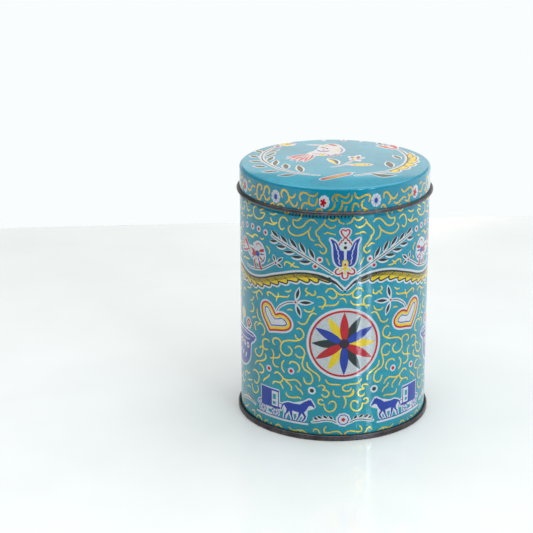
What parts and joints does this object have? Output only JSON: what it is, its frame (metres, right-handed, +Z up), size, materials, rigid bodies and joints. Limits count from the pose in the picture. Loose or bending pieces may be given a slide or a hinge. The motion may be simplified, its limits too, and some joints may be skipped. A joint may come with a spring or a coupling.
{
  "type": "cookie tin",
  "caption": "Round tinplate cookie tin with a necked body, a double-seamed base and a lift-off slip lid, printed with folk motifs on teal.",
  "frame": {"origin": "centre of the ring the tin stands on", "axes": "+Z up through the lid, which lifts off along it; +X through the side seam; -Y through the middle of the front print"},
  "size_m": [0.1178, 0.1178, 0.1564],
  "materials": {
    "teal_enamel": "glossy lithographed enamel",
    "bare_tinplate": "dull aged tinplate",
    "gold_ink": "transparent gold lacquer over tin",
    "white_ink": "glossy",
    "red_ink": "glossy",
    "blue_ink": "glossy",
    "yellow_ink": "glossy",
    "dark_ink": "glossy"
  },
  "bodies": {
    "tin": {"body_shell": "teal_enamel", "bottom_end": "bare_tinplate"},
    "lid": {"lid": "teal_enamel"}
  },
  "joints": [
    {"name": "lid_lift", "type": "slide", "parent": "tin", "child": "lid", "axis": [0, 0, 1], "range_m": [0, 0.08]}
  ]
}
